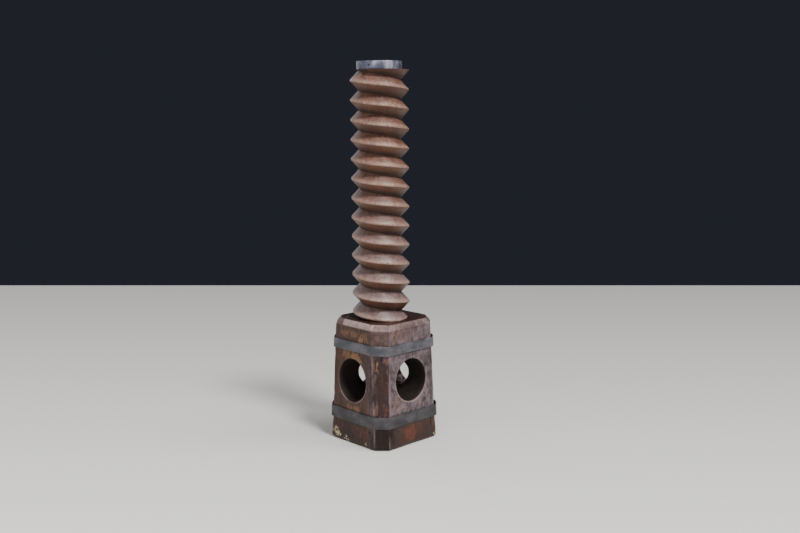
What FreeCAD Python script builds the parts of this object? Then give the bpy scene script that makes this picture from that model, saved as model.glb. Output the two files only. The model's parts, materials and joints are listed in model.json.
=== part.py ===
"""Wooden press screw standing on its hooped square head.

One carved timber carries a left-hand V thread above a tapered, chamfered head with two
crossing bar holes. Two riveted strap-iron hoops bind the head and a nailed sheet-metal
ferrule binds the end of the spindle. Millimetres. The origin is on the spindle's axis, level
with the head's underside; +Z runs up the spindle, and X and Y are square to the head's
faces. The head was hewn a little off the spindle's axis.
"""

import FreeCAD, Part
import Sketcher
import os

SIZES = {
    # spindle
    "crest_radius": 82.5,
    "thread_depth": 24,
    "thread_pitch": 54.5,
    "crest_flat": 3,
    "thread_start_drop": 30.3,
    "shoulder_height": 1057,
    # head
    "head_height": 357,
    "foot_width": 245,
    "top_width": 222,
    "corner_leg": 31,
    "top_bevel_height": 17,
    "top_bevel_inset": 9,
    "foot_bevel_height": 8,
    "foot_bevel_inset": 5,
    "head_offset": 3.5,
    # bar holes
    "bar_radius": 51,
    "bar_height": 190,
    "bar_rim": 5,
    # hoops
    "strap_thickness": 3,
    "strap_clearance": 0.2,
    "corner_gap": 2,
    "strap_bend": 5,
    "lower_hoop_foot": 64,
    "lower_hoop_width": 34,
    "upper_hoop_foot": 271,
    "upper_hoop_width": 28,
    "lap_length": 76,
    "lap_gap": 1,
    # hoop rivets
    "rivet_radius": 4,
    "rivet_head_radius": 8,
    "rivet_head_height": 4,
    "rivet_spacing": 40,
    # ferrule and its nails
    "ferrule_radius": 65,
    "ferrule_wall": 2.5,
    "ferrule_height": 23,
    "ferrule_clearance": 0.2,
    "end_recess": 2,
    "nail_radius": 1.5,
    "nail_head_radius": 3.5,
    "nail_head_height": 1.5,
    "nail_length": 24,
    "nail_turn": 21,
}

NAILS = 4
GROOVE_MARGIN = 1.0      # how far the thread groove's section reaches beyond the crest
GROOVE_RUN_OUT = 0.6     # turns that the groove runs on past the shoulder
BURIED_TURNS = 2         # turns of the spindle that lie inside the head
RIM_MARGIN = 1.0         # slack when picking the bar holes' rims by height
LAP_PAD = 1.5            # depth of the lap's pad, in strap thicknesses
LAP_STEP = 4             # how far the covered end stops short of the lap's end, in lap gaps
LAP_OVERRUN = 1.0        # how far the cut at the covered end passes the strap's edges
RIVET_GRIP = 1.7         # length of a rivet's shank, in strap thicknesses
RIVET_HOLE_GAP = 0.1     # radial gap between a rivet's or nail's shank and its hole


def new_sizes(doc):
    """Put the driving dimensions in the sheet, one aliased cell for each."""
    sheet = doc.addObject("Spreadsheet::Sheet", "sizes")
    for row, (name, value) in enumerate(SIZES.items(), start=1):
        sheet.set(f"A{row}", name)
        sheet.set(f"B{row}", str(value))
        sheet.setAlias(f"B{row}", name)
    doc.recompute()


def size(name):
    """The expression that reads one driving dimension."""
    return f"sizes.{name}"


def half_width(level):
    """Half the head's flat-to-flat width at a height, as an expression."""
    taper = f"({size('foot_width')} - {size('top_width')}) / {size('head_height')}"
    return f"({size('foot_width')} - {taper} * ({level})) / 2"


def new_body(doc, label):
    body = doc.addObject("PartDesign::Body", label)
    body.Label = label
    body.AllowCompound = True
    return body


def origin_feature(body, role):
    return next(item for item in body.Origin.OriginFeatures if item.Role == role)


def new_sketch(body, name, plane):
    sketch = body.newObject("Sketcher::SketchObject", name)
    sketch.AttachmentSupport = (origin_feature(body, plane), [""])
    sketch.MapMode = "FlatFace"
    return sketch


def bind(sketch, constraint, name, expression):
    """Add a named dimension to a sketch and tie it to an expression."""
    index = sketch.addConstraint(constraint)
    sketch.renameConstraint(index, name)
    sketch.setExpression(f"Constraints.{name}", expression)


def closed_outline(sketch, points):
    """Draw a closed polygon and return the indices of its sides."""
    corners = [FreeCAD.Vector(x, y, 0) for x, y in points]
    sides = [
        sketch.addGeometry(Part.LineSegment(start, end), False)
        for start, end in zip(corners, corners[1:] + corners[:1])
    ]
    for side, after in zip(sides, sides[1:] + sides[:1]):
        sketch.addConstraint(Sketcher.Constraint("Coincident", side, 2, after, 1))
    return sides


def rectangle(sketch, left, bottom, width, height):
    """A rectangle whose corner and sides follow four expressions."""
    low, right, top, back = closed_outline(sketch, [(10, 10), (20, 10), (20, 20), (10, 20)])
    for side in (low, top):
        sketch.addConstraint(Sketcher.Constraint("Horizontal", side))
    for side in (right, back):
        sketch.addConstraint(Sketcher.Constraint("Vertical", side))
    bind(sketch, Sketcher.Constraint("DistanceX", low, 1, low, 2, 10), "width", width)
    bind(sketch, Sketcher.Constraint("DistanceY", right, 1, right, 2, 10), "height", height)
    bind(sketch, Sketcher.Constraint("DistanceX", -1, 1, low, 1, 10), "left", left)
    bind(sketch, Sketcher.Constraint("DistanceY", -1, 1, low, 1, 10), "bottom", bottom)


def circle(sketch, name, radius, x="0", y="0"):
    """A circle whose centre and radius follow expressions."""
    ring = sketch.addGeometry(
        Part.Circle(FreeCAD.Vector(0, 0, 0), FreeCAD.Vector(0, 0, 1), 10), False
    )
    bind(sketch, Sketcher.Constraint("Radius", ring, 10), name, radius)
    if x == "0" and y == "0":
        sketch.addConstraint(Sketcher.Constraint("Coincident", ring, 3, -1, 1))
        return
    bind(sketch, Sketcher.Constraint("DistanceX", -1, 1, ring, 3, 10), f"{name}_x", x)
    bind(sketch, Sketcher.Constraint("DistanceY", -1, 1, ring, 3, 10), f"{name}_y", y)


def octagon(body, name, level, half, leg, offset="0"):
    """A square with cut corners at a height, its middle offset equally along X and Y."""
    sketch = new_sketch(body, name, "XY_Plane")
    sketch.setExpression("AttachmentOffset.Base.x", offset)
    sketch.setExpression("AttachmentOffset.Base.y", offset)
    sketch.setExpression("AttachmentOffset.Base.z", level)
    flat, wide = 70, 100
    sides = closed_outline(sketch, [
        (wide, -flat), (wide, flat), (flat, wide), (-flat, wide),
        (-wide, flat), (-wide, -flat), (-flat, -wide), (flat, -wide),
    ])
    east, north, west, south = sides[0::2]
    sketch.addConstraint(Sketcher.Constraint("Symmetric", east, 1, east, 2, -1))
    sketch.addConstraint(Sketcher.Constraint("Symmetric", north, 1, north, 2, -2))
    for side, opposite in ((east, west), (north, south)):
        for end in (1, 2):
            sketch.addConstraint(Sketcher.Constraint("Symmetric", side, end, opposite, end, -1, 1))
    sketch.addConstraint(Sketcher.Constraint("Equal", east, north))
    across = f"2 * ({half})"
    bind(sketch, Sketcher.Constraint("DistanceX", west, 2, east, 1, 2 * wide), "width_x", across)
    bind(sketch, Sketcher.Constraint("DistanceY", south, 2, north, 1, 2 * wide), "width_y", across)
    bind(sketch, Sketcher.Constraint("DistanceY", east, 1, east, 2, 2 * flat), "flat",
         f"2 * (({half}) - ({leg}))")
    return sketch


def loft(body, kind, name, sections):
    """A straight-sided loft through a row of sections."""
    feature = body.newObject(f"PartDesign::{kind}Loft", name)
    feature.Profile = sections[0]
    feature.Sections = sections[1:]
    feature.Ruled = True
    return feature


def pad(body, name, sketch, length, reverse=False):
    feature = body.newObject("PartDesign::Pad", name)
    feature.Profile = sketch
    feature.setExpression("Length", length)
    feature.Reversed = reverse
    return feature


def pocket_through(body, name, sketch):
    """Cut a sketch right through the body, both ways from its plane."""
    feature = body.newObject("PartDesign::Pocket", name)
    feature.Profile = sketch
    feature.Type = "ThroughAll"
    feature.SideType = "Symmetric"
    return feature


def revolve(body, kind, name, sketch, axis):
    feature = body.newObject(f"PartDesign::{kind}", name)
    feature.Profile = sketch
    feature.ReferenceAxis = (sketch, [axis])
    feature.Angle = 360
    return feature


def repeat_round(body, name, feature, count):
    """Repeat a feature evenly about the body's Z axis."""
    pattern = body.newObject("PartDesign::PolarPattern", name)
    pattern.Originals = [feature]
    pattern.Axis = (origin_feature(body, "Z_Axis"), [""])
    pattern.Angle = 360
    pattern.Occurrences = count
    body.Tip = pattern
    return pattern


def fillet(body, name, base, edges, radius):
    feature = body.newObject("PartDesign::Fillet", name)
    feature.Base = (base, edges)
    feature.setExpression("Radius", radius)
    return feature


def edges_where(shape, wanted):
    """Names of the edges of a shape for which wanted(edge) holds."""
    return [f"Edge{number}" for number, edge in enumerate(shape.Edges, start=1) if wanted(edge)]


def thread_blank(body):
    """The turned spindle, before its groove is cut; its foot is buried in the head."""
    sketch = new_sketch(body, "blank_section", "XY_Plane")
    start = f"{size('head_height')} - {BURIED_TURNS} * {size('thread_pitch')}"
    sketch.setExpression("AttachmentOffset.Base.z", start)
    circle(sketch, "crest", size("crest_radius"))
    return pad(body, "blank", sketch, f"{size('shoulder_height')} - ({start})")


def thread_groove(body):
    """The left-hand V groove, from below the head's top to past the shoulder."""
    sketch = new_sketch(body, "groove_section", "XZ_Plane")
    root, upper, lower = (40, 300), (86, 326), (86, 274)
    flank_down, mouth, flank_up = closed_outline(sketch, [root, lower, upper])
    sketch.addConstraint(Sketcher.Constraint("Vertical", mouth))
    sketch.addConstraint(Sketcher.Constraint("Equal", flank_down, flank_up))
    bind(sketch, Sketcher.Constraint("DistanceX", -1, 1, flank_down, 1, 40), "root",
         f"{size('crest_radius')} - {size('thread_depth')}")
    bind(sketch, Sketcher.Constraint("DistanceY", -1, 1, flank_down, 1, 300), "level",
         f"{size('head_height')} - {size('thread_start_drop')}")
    bind(sketch, Sketcher.Constraint("DistanceX", -1, 1, mouth, 1, 86), "mouth_radius",
         f"{size('crest_radius')} + {GROOVE_MARGIN}")
    reach = f"({size('thread_depth')} + {GROOVE_MARGIN}) / {size('thread_depth')}"
    bind(sketch, Sketcher.Constraint("DistanceY", mouth, 1, mouth, 2, 52), "mouth",
         f"({size('thread_pitch')} - {size('crest_flat')}) * {reach}")

    groove = body.newObject("PartDesign::SubtractiveHelix", "groove")
    groove.Profile = sketch
    groove.ReferenceAxis = (sketch, ["V_Axis"])
    groove.Mode = "pitch-height-angle"
    groove.HasBeenEdited = True
    groove.setExpression("Pitch", size("thread_pitch"))
    rise = f"{size('shoulder_height')} - {size('head_height')} + {size('thread_start_drop')}"
    groove.setExpression("Height", f"{rise} + {GROOVE_RUN_OUT} * {size('thread_pitch')}")
    groove.LeftHanded = True
    return groove


def head_block(body):
    """The tapered square head with cut corners, a worn foot and a bevelled top."""
    above_foot = size("foot_bevel_height")
    below_top = f"{size('head_height')} - {size('top_bevel_height')}"
    top = size("head_height")
    levels = [
        ("foot_section", "0", f"{half_width('0')} - {size('foot_bevel_inset')}"),
        ("wide_section", above_foot, half_width(above_foot)),
        ("neck_section", below_top, half_width(below_top)),
        ("top_section", top, f"{half_width(top)} - {size('top_bevel_inset')}"),
    ]
    sections = [
        octagon(body, name, level, half, size("corner_leg"), size("head_offset"))
        for name, level, half in levels
    ]
    return loft(body, "Additive", "head", sections)


def bar_holes(doc, body):
    """Two round holes for the capstan bars, crossing at one height, with eased rims."""
    for name, plane in (("bar_hole_along_y", "XZ_Plane"), ("bar_hole_along_x", "YZ_Plane")):
        sketch = new_sketch(body, f"{name}_section", plane)
        sketch.setExpression("AttachmentOffset.Base.x", size("head_offset"))
        ring = sketch.addGeometry(
            Part.Circle(FreeCAD.Vector(0, 190, 0), FreeCAD.Vector(0, 0, 1), 60), False
        )
        sketch.addConstraint(Sketcher.Constraint("PointOnObject", ring, 3, -2))
        bind(sketch, Sketcher.Constraint("Radius", ring, 60), "hole_radius", size("bar_radius"))
        bind(sketch, Sketcher.Constraint("DistanceY", -1, 1, ring, 3, 190), "level",
             size("bar_height"))
        before = body.Tip.Shape.Volume
        hole = pocket_through(body, name, sketch)
        doc.recompute()
        if hole.Shape.Volume >= before:
            raise RuntimeError(f"{name} cuts nothing")

    sheet = doc.getObject("sizes")
    outer = sheet.top_width / 2 - sheet.top_bevel_inset
    low = sheet.bar_height - sheet.bar_radius - RIM_MARGIN
    high = sheet.bar_height + sheet.bar_radius + RIM_MARGIN

    def on_rim(edge):
        box = edge.BoundBox
        middle = edge.CenterOfMass
        reach = max(abs(middle.x - sheet.head_offset), abs(middle.y - sheet.head_offset))
        inside = low < box.ZMin and box.ZMax < high
        return inside and reach > outer and box.ZLength > sheet.bar_radius

    rim = body.newObject("PartDesign::Chamfer", "bar_hole_rims")
    rim.Base = (hole, edges_where(hole.Shape, on_rim))
    rim.setExpression("Size", size("bar_rim"))
    return rim


def nail_sketch(body, name):
    """A sketch in the upright plane through the first nail, level with the nails."""
    sketch = new_sketch(body, name, "XZ_Plane")
    sketch.AttachmentOffset = FreeCAD.Placement(
        FreeCAD.Vector(0, 0, 0), FreeCAD.Rotation(FreeCAD.Vector(0, 1, 0), SIZES["nail_turn"])
    )
    sketch.setExpression("AttachmentOffset.Rotation.Angle", size("nail_turn"))
    sketch.setExpression(
        "AttachmentOffset.Base.y", f"{size('shoulder_height')} + {size('ferrule_height')} / 2"
    )
    return sketch


def nail_holes(doc, body, name, inner, outer):
    """Holes for the ferrule's nails between two radii, repeated round the axis."""
    sketch = nail_sketch(body, f"{name}_section")
    rectangle(sketch, inner, "0", f"{outer} - ({inner})", f"{size('nail_radius')} + {RIVET_HOLE_GAP}")
    before = body.Tip.Shape.Volume
    hole = revolve(body, "Groove", name, sketch, "H_Axis")
    pattern = repeat_round(body, f"{name}_round", hole, NAILS)
    doc.recompute()
    if pattern.Shape.Volume >= before:
        raise RuntimeError(f"{name} cuts nothing")


def screw_timber(doc):
    """Spindle, head, bar holes and end tenon, carved from one timber."""
    body = new_body(doc, "screw_timber")
    thread_blank(body)
    thread_groove(body)
    head_block(body)

    tenon = new_sketch(body, "tenon_section", "XY_Plane")
    tenon.setExpression("AttachmentOffset.Base.z", size("shoulder_height"))
    tenon_radius = f"{size('ferrule_radius')} - {size('ferrule_wall')} - {size('ferrule_clearance')}"
    circle(tenon, "tenon", tenon_radius)
    pad(body, "tenon", tenon, f"{size('ferrule_height')} - {size('end_recess')}")
    doc.recompute()

    bar_holes(doc, body)
    doc.recompute()
    nail_end = f"{size('ferrule_radius')} - {size('nail_length')} - {size('ferrule_clearance')}"
    nail_holes(doc, body, "timber_nail_hole", nail_end, size("ferrule_radius"))
    return body


def hoop_leg(extra):
    """Corner leg of the hoop's inside, or its outside when extra is the strap's thickness."""
    stand_off = f"1.41421356 * ({size('corner_gap')} + {extra})"
    return f"{size('corner_leg')} + 2 * ({size('strap_clearance')} + {extra}) - {stand_off}"


def hoop_sections(body, name, foot, width, extra):
    """The foot and top outlines of one wall of a hoop."""
    return [
        octagon(body, f"{name}_{place}", level,
                f"{half_width(level)} + {size('strap_clearance')} + {extra}", hoop_leg(extra))
        for place, level in (("foot", foot), ("top", f"{foot} + {width}"))
    ]


def bend_corners(doc, body, ring):
    """Round the strap's corners, the outside on the same centres as the inside."""
    def from_axis(edge):
        return (edge.CenterOfMass.x ** 2 + edge.CenterOfMass.y ** 2) ** 0.5

    corners = [edge for edge in ring.Shape.Edges if edge.BoundBox.ZLength > 1]
    middle = sum(from_axis(edge) for edge in corners) / len(corners)
    inside = edges_where(
        ring.Shape, lambda edge: edge.BoundBox.ZLength > 1 and from_axis(edge) < middle
    )
    inner = fillet(body, "inner_bends", ring, inside, size("strap_bend"))
    doc.recompute()
    outside = edges_where(
        inner.Shape, lambda edge: edge.BoundBox.ZLength > 1 and from_axis(edge) > middle
    )
    fillet(body, "outer_bends", inner, outside,
           f"{size('strap_bend')} + {size('strap_thickness')}")
    doc.recompute()


def hoop(doc, label, foot, width):
    """A strap bent round the tapered head and lapped on its -X face, where two rivets go."""
    body = new_body(doc, label)
    body.setExpression("Placement.Base.x", size("head_offset"))
    body.setExpression("Placement.Base.y", size("head_offset"))
    thickness = size("strap_thickness")
    loft(body, "Additive", "strap", hoop_sections(body, "outside", foot, width, thickness))
    bore = loft(body, "Subtractive", "bore", hoop_sections(body, "inside", foot, width, "0"))
    doc.recompute()
    bend_corners(doc, body, bore)

    seat = f"{half_width(foot)} + {size('strap_clearance')}"
    lap = new_sketch(body, "lap_section", "YZ_Plane")
    lap.setExpression("AttachmentOffset.Base.z", f"-({seat} + 2 * {thickness})")
    rectangle(lap, f"-{size('lap_length')} / 2", foot, size("lap_length"), width)
    pad(body, "lap", lap, f"{LAP_PAD} * {thickness}")
    doc.recompute()

    inner_end = new_sketch(body, "inner_end_section", "YZ_Plane")
    inner_end.setExpression("AttachmentOffset.Base.z", f"-({seat} + {thickness})")
    end_place = f"{size('lap_length')} / 2 - {LAP_STEP} * {size('lap_gap')}"
    rectangle(inner_end, end_place, f"{foot} - {LAP_OVERRUN}",
              size("lap_gap"), f"{width} + 2 * {LAP_OVERRUN}")
    slot = body.newObject("PartDesign::Pocket", "inner_end_gap")
    slot.Profile = inner_end
    slot.Reversed = True
    slot.setExpression("Length", f"2 * {thickness}")

    holes = new_sketch(body, "rivet_hole_section", "YZ_Plane")
    holes.setExpression("AttachmentOffset.Base.z", f"-({seat} - {thickness})")
    for name, side in (("left", "-"), ("right", "")):
        circle(holes, name, f"{size('rivet_radius')} + {RIVET_HOLE_GAP}",
               f"{side}{size('rivet_spacing')} / 2", f"{foot} + {width} / 2")
    doc.recompute()
    before = slot.Shape.Volume
    bored = body.newObject("PartDesign::Pocket", "rivet_holes")
    bored.Profile = holes
    bored.setExpression("Length", f"4 * {thickness}")
    doc.recompute()
    if bored.Shape.Volume >= before:
        raise RuntimeError(f"{label} has no rivet holes")
    return body


def hoop_rivets(doc, label, foot, width):
    """Two rivets through a hoop's lap, heads outside, tails flush inside the strap."""
    body = new_body(doc, label)
    sketch = new_sketch(body, "rivet_section", "XZ_Plane")
    thickness = size("strap_thickness")
    grip = f"{RIVET_GRIP} * {thickness}"
    points = [(0, -9), (4, -9), (4, 0), (8, 0), (8, 1), (4, 4), (0, 4)]
    tail, shank, seat, edge, dome, crown, axis = closed_outline(sketch, points)
    for flat in (tail, seat, crown):
        sketch.addConstraint(Sketcher.Constraint("Horizontal", flat))
    for upright in (shank, edge, axis):
        sketch.addConstraint(Sketcher.Constraint("Vertical", upright))
    sketch.addConstraint(Sketcher.Constraint("PointOnObject", tail, 1, -2))
    sketch.addConstraint(Sketcher.Constraint("PointOnObject", seat, 1, -1))
    bind(sketch, Sketcher.Constraint("DistanceX", tail, 1, tail, 2, 4), "shank",
         size("rivet_radius"))
    bind(sketch, Sketcher.Constraint("DistanceY", tail, 2, -1, 1, 9), "grip", grip)
    bind(sketch, Sketcher.Constraint("DistanceX", -1, 1, seat, 2, 8), "head",
         size("rivet_head_radius"))
    bind(sketch, Sketcher.Constraint("DistanceY", edge, 1, edge, 2, 1), "lip",
         f"{size('rivet_head_height')} / 4")
    bind(sketch, Sketcher.Constraint("DistanceY", edge, 1, crown, 1, 4), "crown",
         size("rivet_head_height"))
    bind(sketch, Sketcher.Constraint("DistanceX", crown, 2, crown, 1, 4), "crown_width",
         f"{size('rivet_head_radius')} / 2")
    rivet = revolve(body, "Revolution", "rivet", sketch, "V_Axis")

    pair = body.newObject("PartDesign::LinearPattern", "pair")
    pair.Originals = [rivet]
    pair.Direction = (origin_feature(body, "X_Axis"), [""])
    pair.setExpression("Length", size("rivet_spacing"))
    pair.Occurrences = 2
    body.Tip = pair

    outward, along, down = FreeCAD.Vector(-1, 0, 0), FreeCAD.Vector(0, 1, 0), FreeCAD.Vector(0, 0, -1)
    body.Placement = FreeCAD.Placement(
        FreeCAD.Vector(0, 0, 0), FreeCAD.Rotation(along, down, outward, "ZXY")
    )
    face = f"{half_width(foot)} + {size('strap_clearance')} + 2 * {thickness}"
    body.setExpression("Placement.Base.x", f"{size('head_offset')} - ({face})")
    body.setExpression("Placement.Base.y", f"{size('head_offset')} - {size('rivet_spacing')} / 2")
    body.setExpression("Placement.Base.z", f"{foot} + {width} / 2")
    return body


def end_ferrule(doc):
    """The sheet-metal band round the tenon at the end of the spindle."""
    body = new_body(doc, "end_ferrule")
    sketch = new_sketch(body, "ferrule_section", "XY_Plane")
    sketch.setExpression("AttachmentOffset.Base.z", size("shoulder_height"))
    circle(sketch, "outside", size("ferrule_radius"))
    circle(sketch, "inside", f"{size('ferrule_radius')} - {size('ferrule_wall')}")
    pad(body, "band", sketch, size("ferrule_height"))
    doc.recompute()
    nail_holes(doc, body, "ferrule_nail_hole",
               f"{size('ferrule_radius')} - 2 * {size('ferrule_wall')}",
               f"{size('ferrule_radius')} + {size('ferrule_wall')}")
    return body


def ferrule_nails(doc):
    """Four nails driven through the ferrule into the timber, heads outside."""
    body = new_body(doc, "ferrule_nails")
    sketch = nail_sketch(body, "nail_section")
    points = [(41, 0), (66.5, 0), (66.5, 3.5), (65, 3.5), (65, 1.5), (41, 1.5)]
    axis, crown, rim, seat, shank, tip = closed_outline(sketch, points)
    sketch.addConstraint(Sketcher.Constraint("PointOnObject", axis, 1, -1))
    for level in (axis, rim, shank):
        sketch.addConstraint(Sketcher.Constraint("Horizontal", level))
    for upright in (crown, seat, tip):
        sketch.addConstraint(Sketcher.Constraint("Vertical", upright))
    bind(sketch, Sketcher.Constraint("DistanceX", -1, 1, seat, 1, 65), "seat",
         size("ferrule_radius"))
    bind(sketch, Sketcher.Constraint("DistanceX", axis, 1, seat, 1, 24), "shank_length",
         size("nail_length"))
    bind(sketch, Sketcher.Constraint("DistanceX", seat, 1, axis, 2, 1.5), "head_height",
         size("nail_head_height"))
    bind(sketch, Sketcher.Constraint("DistanceY", crown, 1, crown, 2, 3.5), "head_radius",
         size("nail_head_radius"))
    bind(sketch, Sketcher.Constraint("DistanceY", tip, 2, tip, 1, 1.5), "shank_radius",
         size("nail_radius"))
    nail = revolve(body, "Revolution", "nail", sketch, "H_Axis")
    repeat_round(body, "nails", nail, NAILS)
    return body


def check(doc, bodies):
    """Stop unless every feature was built and every sub-part is a valid shape."""
    for item in doc.Objects:
        if {"Invalid", "Error"} & set(item.State):
            raise RuntimeError(f"{item.Name} failed: {item.State}")
    for body in bodies:
        if body.Shape.isNull() or not body.Shape.isValid():
            raise RuntimeError(f"{body.Label} has no valid shape")


def main():
    doc = FreeCAD.newDocument("press_screw")
    new_sizes(doc)
    hoops = [
        (place, size(f"{place}_hoop_foot"), size(f"{place}_hoop_width"))
        for place in ("lower", "upper")
    ]
    bodies = [screw_timber(doc), end_ferrule(doc), ferrule_nails(doc)]
    for place, foot, width in hoops:
        bodies.append(hoop(doc, f"{place}_hoop", foot, width))
        bodies.append(hoop_rivets(doc, f"{place}_hoop_rivets", foot, width))
    doc.recompute()
    check(doc, bodies)
    os.makedirs("parts", exist_ok=True)
    for body in bodies:
        body.Shape.exportStep(os.path.join("parts", f"{body.Label}.step"))
        box = body.Shape.BoundBox
        print(f"{body.Label}: {len(body.Shape.Solids)} solids, volume {body.Shape.Volume:.0f},"
              f" z {box.ZMin:.1f} to {box.ZMax:.1f}, x {box.XMin:.1f} to {box.XMax:.1f}")


main()
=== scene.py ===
"""The looks of a wooden press screw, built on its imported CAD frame. Metres."""

import json
import math
import random

import bmesh
import bpy
import numpy as np
from mathutils import Matrix, Vector


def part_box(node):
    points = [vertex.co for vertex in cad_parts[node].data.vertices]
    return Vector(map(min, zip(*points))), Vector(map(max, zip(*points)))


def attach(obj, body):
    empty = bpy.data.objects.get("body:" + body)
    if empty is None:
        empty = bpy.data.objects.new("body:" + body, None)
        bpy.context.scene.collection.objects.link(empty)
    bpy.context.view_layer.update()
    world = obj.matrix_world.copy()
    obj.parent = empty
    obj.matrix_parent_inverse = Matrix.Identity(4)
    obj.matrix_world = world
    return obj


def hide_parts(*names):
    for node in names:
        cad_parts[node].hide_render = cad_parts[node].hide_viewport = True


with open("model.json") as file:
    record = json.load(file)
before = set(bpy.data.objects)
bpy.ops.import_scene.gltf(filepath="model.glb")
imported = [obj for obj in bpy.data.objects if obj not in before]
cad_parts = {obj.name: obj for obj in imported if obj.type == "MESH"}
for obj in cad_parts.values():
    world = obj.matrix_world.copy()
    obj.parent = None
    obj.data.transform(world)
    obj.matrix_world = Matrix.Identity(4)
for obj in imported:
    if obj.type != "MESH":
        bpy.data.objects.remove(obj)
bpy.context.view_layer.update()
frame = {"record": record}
random.seed(7)

MM = 0.001

# ---------------------------------------------------------------- sizes, from the frame
MOUNTS = {mount["name"]: mount for mount in frame["record"]["mounts"]}
CREST_RADIUS = MOUNTS["spindle_thread"]["dims"]["r_mm"] * MM
BAR_RADIUS = MOUNTS["bar_hole_x"]["dims"]["r_mm"] * MM
BAR_HEIGHT = MOUNTS["bar_hole_x"]["pos_m"][2]
HEAD_OFFSET = MOUNTS["bar_hole_x"]["pos_m"][1]
TIMBER_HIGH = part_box("screw_timber")[1]
FERRULE_LOW, FERRULE_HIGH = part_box("end_ferrule")
FERRULE_RADIUS = (FERRULE_HIGH.y - FERRULE_LOW.y) / 2
SHOULDER = FERRULE_LOW.z

# the thread, as carved
PITCH = 54.5 * MM
THREAD_DEPTH = 24 * MM
SHOULDER_GAP = 0.05 * MM        # the end piece stands this far below the shoulder
CREST_FLAT = 3 * MM
CREST_AT_X = 353.95 * MM        # height of one crest where it crosses the +X side
FERRULE_WALL = 2.5 * MM
FERRULE_CLEARANCE = 0.2 * MM
TENON_RADIUS = FERRULE_RADIUS - FERRULE_WALL - FERRULE_CLEARANCE
BURIED = 12 * MM                # how far the visible spindle runs down inside the head

# the head
HEAD_HEIGHT = 357 * MM
FOOT_HALF = TIMBER_HIGH.x - HEAD_OFFSET + 0.26 * MM
TOP_HALF = FOOT_HALF - 11.5 * MM
CORNER_LEG = 31 * MM
TOP_BEVEL = 17 * MM
TOP_INSET = 9 * MM
FOOT_LEG_LESS = 2.5 * MM          # the foot's corners are cut less
FOOT_BEVEL = 8 * MM
FOOT_INSET = 5 * MM

# the hoops
STRAP_THICKNESS = 3 * MM
STRAP_CLEARANCE = 0.2 * MM
STRAP_BEND = 5 * MM
CORNER_GAP = 2 * MM
LAP_LENGTH = 76 * MM
LAP_STEP = 4 * MM               # the covered end stops this far short of the lap's end
JOGGLE = 8 * MM                 # the length over which a strap steps out over its own end
STRAP_WEAR = 0.6 * MM           # how much thinner than the CAD's the iron is, as room for dents
CORNER_STAND, FAR_CORNER_STAND = 0.4 * MM, 2.4 * MM   # how far the hoops stand off the corners
RIVET_SPACING = 40 * MM
RIVET_HEAD = (8 * MM, 4 * MM)
NAIL_HEAD = (3.5 * MM, 1.5 * MM)
NAILS = 4
NAIL_TURN = math.radians(21)
FERRULE_SHEET = 0.9 * MM
FERRULE_SEAM = math.radians(170)
FERRULE_LAP = math.radians(22)


# ---------------------------------------------------------------- noise and mesh helpers
def hashed(cells, seed):
    """A repeatable number from -1 to 1 for each lattice cell."""
    mixed = cells[:, 0] * 73856093 ^ cells[:, 1] * 19349663 ^ cells[:, 2] * 83492791
    mixed = mixed ^ seed * 2654435761
    mixed = (mixed ^ mixed >> 13) * 1274126177
    mixed = (mixed ^ mixed >> 16) & 0xFFFFFF
    return mixed / 0x7FFFFF - 1


def lattice_noise(points, cell, seed):
    """Smooth noise from -1 to 1 at each point; cell is the lattice's size, one number or three."""
    scaled = np.asarray(points) / np.asarray(cell)
    base = np.floor(scaled).astype(np.int64)
    blend = scaled - base
    blend = blend * blend * (3 - 2 * blend)
    total = np.zeros(len(scaled))
    for corner in np.ndindex(2, 2, 2):
        corner = np.array(corner)
        weight = np.prod(np.where(corner == 1, blend, 1 - blend), axis=1)
        total += weight * hashed(base + corner, seed)
    return total


def line_noise(values, cell, seed):
    """Smooth noise along one number."""
    values = np.asarray(values, float)
    points = np.stack([values, np.zeros_like(values), np.zeros_like(values)], axis=1)
    return lattice_noise(points, cell, seed)


def ramp(values, low, high):
    """0 below low, 1 above high and smooth between."""
    t = np.clip((np.asarray(values) - low) / (high - low), 0, 1)
    return t * t * (3 - 2 * t)


def mesh_object(name, vertices, faces, smooth=True):
    mesh = bpy.data.meshes.new(name)
    mesh.from_pydata(np.asarray(vertices).tolist(), [], [list(map(int, face)) for face in faces])
    mesh.update()
    mesh.polygons.foreach_set("use_smooth", [smooth] * len(mesh.polygons))
    piece = bpy.data.objects.new(name, mesh)
    bpy.context.scene.collection.objects.link(piece)
    return piece


def grid_faces(rows, columns, closed_columns=True):
    """Quads between the rows of a grid of vertices."""
    last = columns if closed_columns else columns - 1
    return [
        (row * columns + column,
         row * columns + (column + 1) % columns,
         (row + 1) * columns + (column + 1) % columns,
         (row + 1) * columns + column)
        for row in range(rows - 1) for column in range(last)
    ]


def tube_faces(rows, columns):
    """The quads of a closed grid, with a face over its first and last rows."""
    last = (rows - 1) * columns
    caps = [tuple(range(columns)), tuple(range(last, last + columns))]
    return grid_faces(rows, columns) + caps


def tidy_mesh(piece, merge=0.02 * MM):
    """Merge points that coincide, drop flat faces and turn every face outward."""
    build = bmesh.new()
    build.from_mesh(piece.data)
    bmesh.ops.remove_doubles(build, verts=build.verts, dist=merge)
    bmesh.ops.dissolve_degenerate(build, edges=build.edges, dist=merge / 2)
    bmesh.ops.recalc_face_normals(build, faces=build.faces)
    build.to_mesh(piece.data)
    build.free()
    piece.data.update()


def vertex_vectors(piece, name):
    """Every vertex's "co" or "normal", as rows of three."""
    vectors = np.empty(len(piece.data.vertices) * 3)
    piece.data.vertices.foreach_get(name, vectors)
    return vectors.reshape(-1, 3)


def set_points(piece, points):
    piece.data.vertices.foreach_set("co", np.asarray(points).ravel())
    piece.data.update()


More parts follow.
